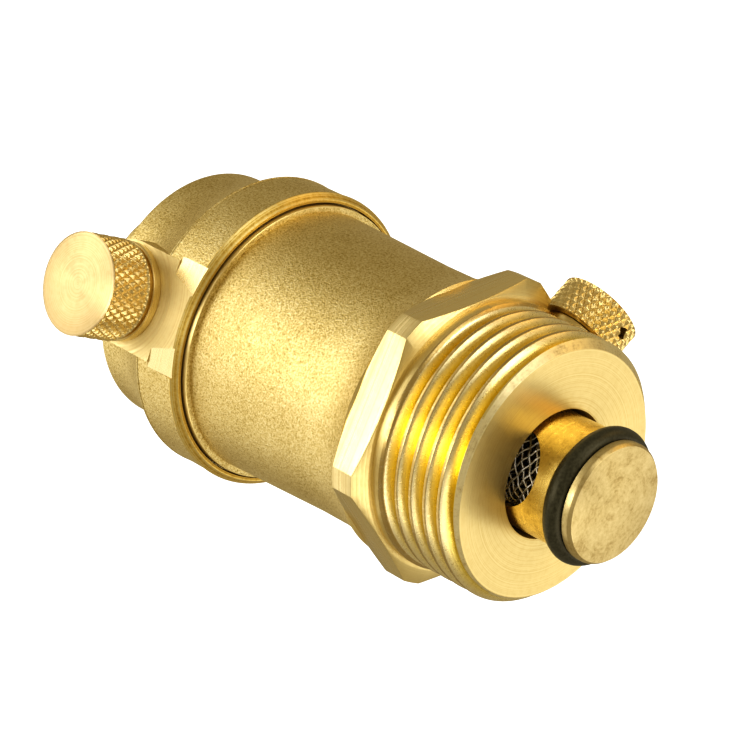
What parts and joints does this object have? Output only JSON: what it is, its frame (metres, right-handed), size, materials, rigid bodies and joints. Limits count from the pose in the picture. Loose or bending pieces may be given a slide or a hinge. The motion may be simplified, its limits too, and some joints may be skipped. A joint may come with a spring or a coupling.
{
  "type": "automatic air vent",
  "caption": "Brass float air vent with a threaded inlet, hexagon, domed cap, side vent knob, bleed knob and a spring-loaded inlet plunger with a mesh filter.",
  "frame": {"origin": "centre of the threaded inlet's end face", "axes": "+Z along the vent's axis from the inlet to the cap, -Y out through the vent knob"},
  "size_m": [0.0404, 0.0457, 0.0819],
  "materials": {
    "forged_brass": "blasted forging with machined faces",
    "turned_brass": "turned",
    "knob_brass": "turned and knurled",
    "plunger_brass": "turned, dull with use",
    "stainless": "plain",
    "seal_rubber": "matte",
    "gasket_fibre": "matte",
    "float_plastic": "moulded"
  },
  "bodies": {
    "housing": {"body": "forged_brass", "cap": "forged_brass", "cap_gasket": "gasket_fibre", "vent_nipple": "turned_brass", "nipple_washer": "turned_brass", "bleed_stem": "turned_brass", "lever_pin": "stainless", "pin_clips": "stainless", "lever_bracket": "stainless", "bracket_screws": "turned_brass", "spring_retainer": "turned_brass", "retainer_ring": "stainless", "plunger_spring": "stainless"},
    "vent_valve_disc": {"vent_knob_seal": "seal_rubber"},
    "vent_valve_knob": {"vent_knob": "knob_brass"},
    "bleed_valve_disc": {"bleed_seal": "seal_rubber"},
    "bleed_valve_knob": {"bleed_knob": "knob_brass"},
    "lever_arm": {"lever": "stainless", "seal_pad": "seal_rubber"},
    "float": {"float_shell": "float_plastic", "float_lid": "float_plastic", "float_stem": "float_plastic"},
    "plunger_group": {"plunger": "plunger_brass", "plunger_o_ring": "seal_rubber", "mesh_filter": "stainless", "filter_hoops": "turned_brass", "plunger_circlip": "stainless"}
  },
  "joints": [
    {"name": "plunger_slide", "type": "slide", "parent": "housing", "child": "plunger_group", "axis": [0, 0, 1], "range_m": [0, 0.0056], "stiffness_N_per_m": 400, "springref_m": -0.004, "deforming": ["plunger_spring"]},
    {"name": "vent_disc_slide", "type": "slide", "parent": "housing", "child": "vent_valve_disc", "axis": [0, -1, 0], "range_m": [0, 0.0015]},
    {"name": "vent_knob_turn", "type": "hinge", "parent": "vent_valve_disc", "child": "vent_valve_knob", "pos_m": [0, 0, 0.0584], "axis": [0, -1, 0], "range_deg": [0, 540.1]},
    {"name": "bleed_disc_slide", "type": "slide", "parent": "housing", "child": "bleed_valve_disc", "axis": [0.8241, 0.5664, 0], "range_m": [0, 0.00075]},
    {"name": "bleed_knob_turn", "type": "hinge", "parent": "bleed_valve_disc", "child": "bleed_valve_knob", "pos_m": [0, 0, 0.0113], "axis": [0.8241, 0.5664, 0], "range_deg": [0, 360.1]},
    {"name": "lever_swing", "type": "hinge", "parent": "housing", "child": "lever_arm", "pos_m": [0, -0.0095, 0.054], "axis": [1, 0, 0], "range_deg": [0, 15.8]},
    {"name": "float_rise", "type": "slide", "parent": "housing", "child": "float", "axis": [0, 0, 1], "range_m": [0, 0.00262]}
  ],
  "couplings": [
    {"joint": "vent_knob_turn", "follows": "vent_disc_slide", "rad_per_m": 6283.2},
    {"joint": "bleed_knob_turn", "follows": "bleed_disc_slide", "rad_per_m": 8377.6},
    {"joint": "lever_swing", "follows": "float_rise", "rad_per_m": 105.2}
  ]
}
